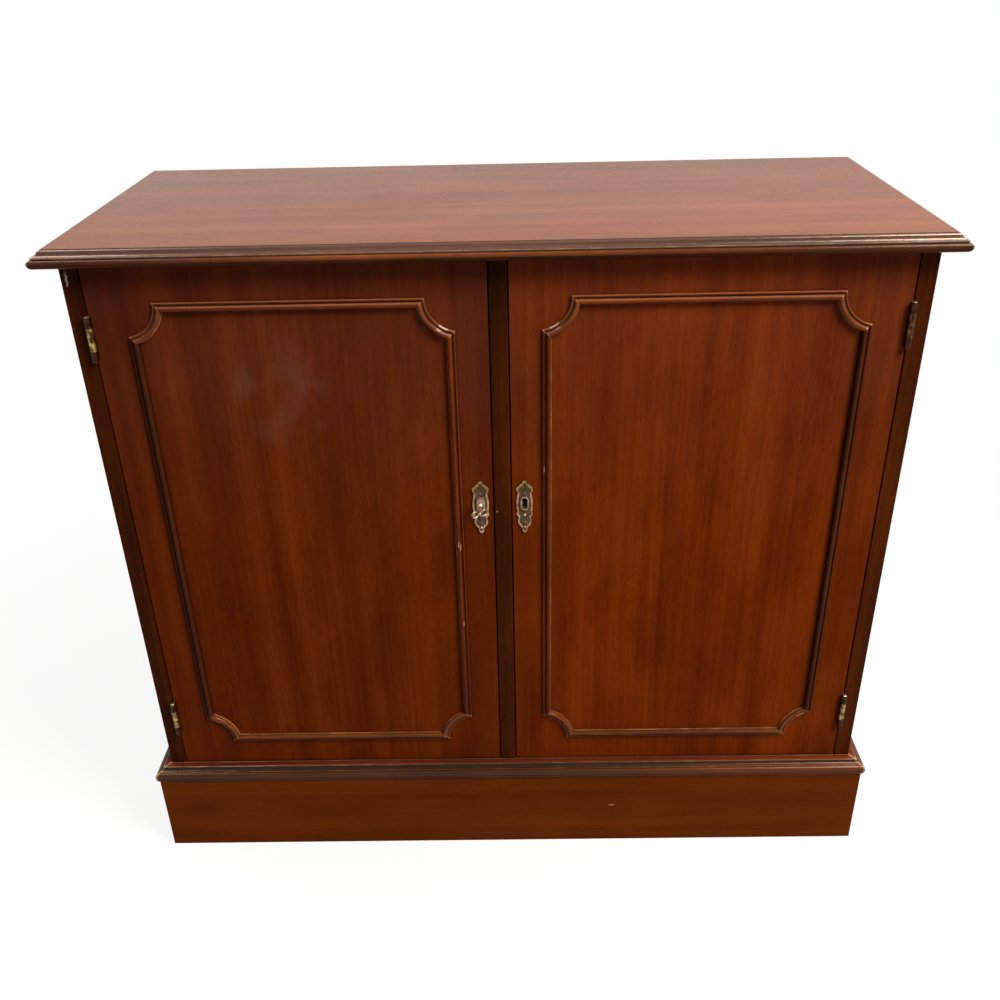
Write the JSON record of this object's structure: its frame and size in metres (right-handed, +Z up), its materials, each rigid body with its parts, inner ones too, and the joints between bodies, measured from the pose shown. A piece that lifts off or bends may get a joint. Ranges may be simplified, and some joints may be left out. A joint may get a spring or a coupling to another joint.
{
  "type": "two-door cabinet",
  "caption": "Low mahogany cabinet with inset doors, scooped bead panels, moulded top and plinth, brass butt hinges, keyhole plates and a key, with a shelf in each bay.",
  "frame": {"origin": "floor level, under the middle of the whole piece from the end of the key to the back", "axes": "+X to the right as seen from the front, +Y from the doors to the back, +Z up"},
  "size_m": [0.944, 0.4135, 0.83],
  "materials": {
    "top_veneer": "polished mahogany veneer",
    "edge_mahogany": "polished solid mahogany moulding",
    "side_veneer": "polished mahogany veneer, dark edges",
    "partition_veneer": "polished mahogany, dark front edge",
    "door_veneer": "polished ribbon mahogany veneer, grain upright",
    "door_lipping": "polished solid mahogany",
    "bead_mahogany": "polished solid mahogany, arrises rubbed",
    "plinth_veneer": "polished mahogany veneer, grain level",
    "inner_veneer": "satin mahogany veneer",
    "inner_softwood": "plain stained softwood",
    "back_ply": "plain plywood",
    "hinge_brass": "dull aged brass",
    "plate_brass": "aged cast brass, rubbed on the high parts",
    "lock_brass": "dull brass",
    "lock_steel": "oiled steel",
    "key_brass": "aged cast brass",
    "peg_brass": "turned brass"
  },
  "bodies": {
    "carcass": {"top_panel": "top_veneer", "left_side": "side_veneer", "right_side": "side_veneer", "partition": "partition_veneer", "bottom_board": "inner_veneer", "front_rail": "inner_softwood", "back_rail": "inner_softwood", "back_panel": "back_ply", "plinth_back": "inner_softwood", "glue_blocks": "inner_softwood", "left_shelf": "inner_veneer", "right_shelf": "inner_veneer", "shelf_pegs": "peg_brass", "left_strike": "plate_brass", "right_strike": "plate_brass", "top_edging_front": "edge_mahogany", "top_edging_left": "edge_mahogany", "top_edging_right": "edge_mahogany", "plinth_moulding_front": "edge_mahogany", "plinth_moulding_left": "edge_mahogany", "plinth_moulding_right": "edge_mahogany", "plinth_front": "plinth_veneer", "plinth_left": "plinth_veneer", "plinth_right": "plinth_veneer", "left_lower_hinge_side_leaf": "hinge_brass", "right_lower_hinge_side_leaf": "hinge_brass", "left_lower_hinge_pin": "hinge_brass", "right_lower_hinge_pin": "hinge_brass", "left_upper_hinge_side_leaf": "hinge_brass", "right_upper_hinge_side_leaf": "hinge_brass", "left_upper_hinge_pin": "hinge_brass", "right_upper_hinge_pin": "hinge_brass"},
    "left_door": {"left_door_board": "door_veneer", "left_hinge_lipping": "door_lipping", "left_lock_lipping": "door_lipping", "left_keyhole_plate": "plate_brass", "left_lock_case": "lock_brass", "left_bead_top": "bead_mahogany", "left_bead_bottom": "bead_mahogany", "left_bead_hinge_side": "bead_mahogany", "left_bead_lock_side": "bead_mahogany", "left_bead_corners": "bead_mahogany", "left_lower_hinge_door_leaf": "hinge_brass", "left_upper_hinge_door_leaf": "hinge_brass"},
    "right_door": {"right_door_board": "door_veneer", "right_hinge_lipping": "door_lipping", "right_lock_lipping": "door_lipping", "right_keyhole_plate": "plate_brass", "right_lock_case": "lock_brass", "right_bead_top": "bead_mahogany", "right_bead_bottom": "bead_mahogany", "right_bead_hinge_side": "bead_mahogany", "right_bead_lock_side": "bead_mahogany", "right_bead_corners": "bead_mahogany", "right_lower_hinge_door_leaf": "hinge_brass", "right_upper_hinge_door_leaf": "hinge_brass"},
    "left_bolt": {"left_lock_bolt": "lock_steel"},
    "right_bolt": {"right_lock_bolt": "lock_steel"},
    "left_key": {"left_key": "key_brass"}
  },
  "joints": [
    {"name": "left_door_swing", "type": "hinge", "parent": "carcass", "child": "left_door", "pos_m": [-0.43025, -0.17205, 0.4735], "axis": [0, 0, -1], "range_deg": [0, 180]},
    {"name": "right_door_swing", "type": "hinge", "parent": "carcass", "child": "right_door", "pos_m": [0.43025, -0.17205, 0.4735], "axis": [0, 0, 1], "range_deg": [0, 180]},
    {"name": "left_key_turn", "type": "hinge", "parent": "left_door", "child": "left_key", "pos_m": [-0.02525, -0.16825, 0.5285], "axis": [0, 1, 0], "range_deg": [0, 180]},
    {"name": "left_bolt_slide", "type": "slide", "parent": "left_door", "child": "left_bolt", "axis": [1, 0, 0], "range_m": [0, 0.007]},
    {"name": "right_bolt_slide", "type": "slide", "parent": "right_door", "child": "right_bolt", "axis": [-1, 0, 0], "range_m": [0, 0.007]}
  ],
  "couplings": [
    {"joint": "left_bolt_slide", "follows": "left_key_turn", "m_per_rad": 0.0022282}
  ]
}
